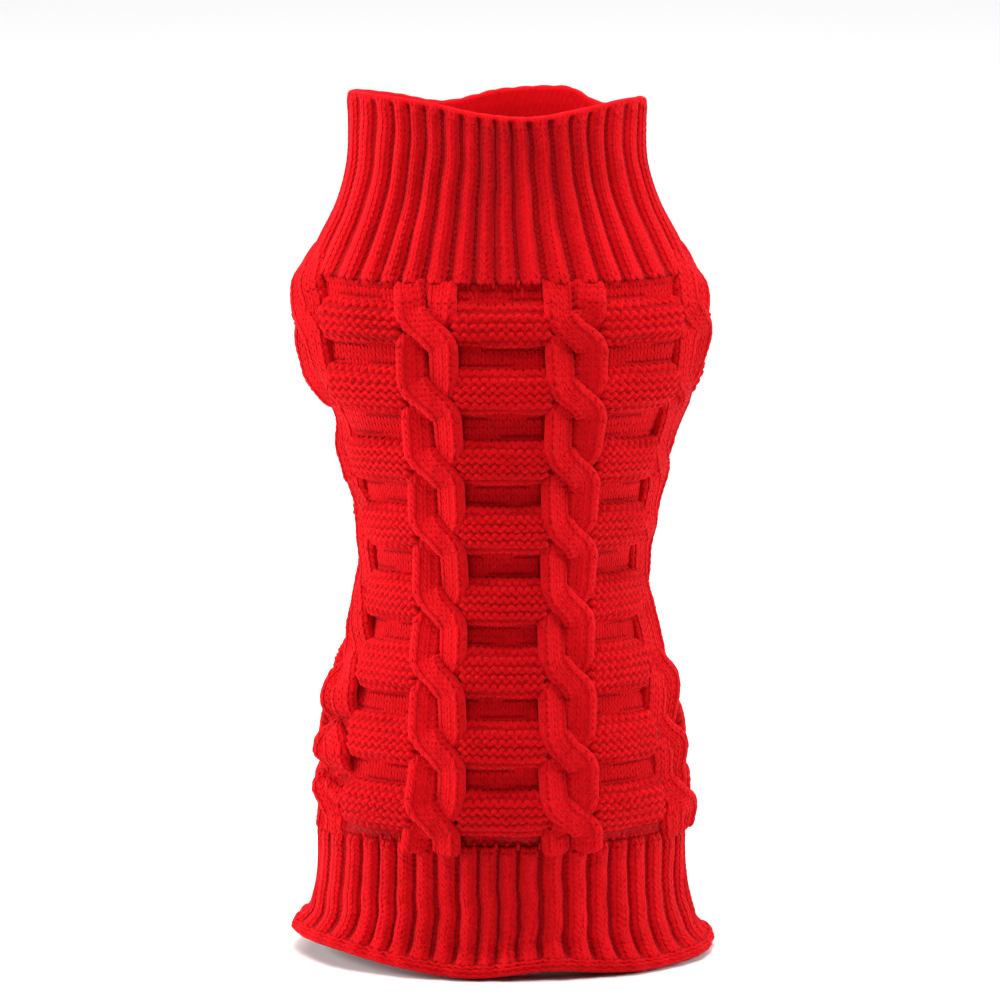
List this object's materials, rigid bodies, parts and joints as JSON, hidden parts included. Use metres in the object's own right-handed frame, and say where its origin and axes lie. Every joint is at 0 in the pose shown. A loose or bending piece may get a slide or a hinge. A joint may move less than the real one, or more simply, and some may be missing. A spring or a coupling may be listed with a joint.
{
  "type": "dog sweater",
  "caption": "Knitted turtleneck dog sweater, filled out and hollow, with a ribbed collar and hem, a cable and ladder pattern on the back, a plain belly and leg openings.",
  "frame": {"origin": "centre of the ring where the collar is sewn to the body, on the garment's axis: the wearer's neck base", "axes": "+Z from the hem towards the neck, -Y the cabled back of the sweater, +X to the right as the cabled back is seen"},
  "size_m": [0.1527, 0.1059, 0.3158],
  "materials": {
    "collar_knit": "soft ribbed acrylic knit, matt, with a light nap",
    "back_knit": "cabled acrylic knit with raised purl bars, matt, with a light nap",
    "belly_knit": "plain acrylic stockinette knit, matt",
    "hem_knit": "soft ribbed acrylic knit with a rolled edge, matt",
    "leg_band_knit": "narrow ribbed acrylic knit, matt"
  },
  "bodies": {
    "root": {"collar": "collar_knit", "back_panel": "back_knit", "belly_panel": "belly_knit", "hem_band": "hem_knit", "left_leg_band": "leg_band_knit", "right_leg_band": "leg_band_knit"}
  },
  "joints": []
}
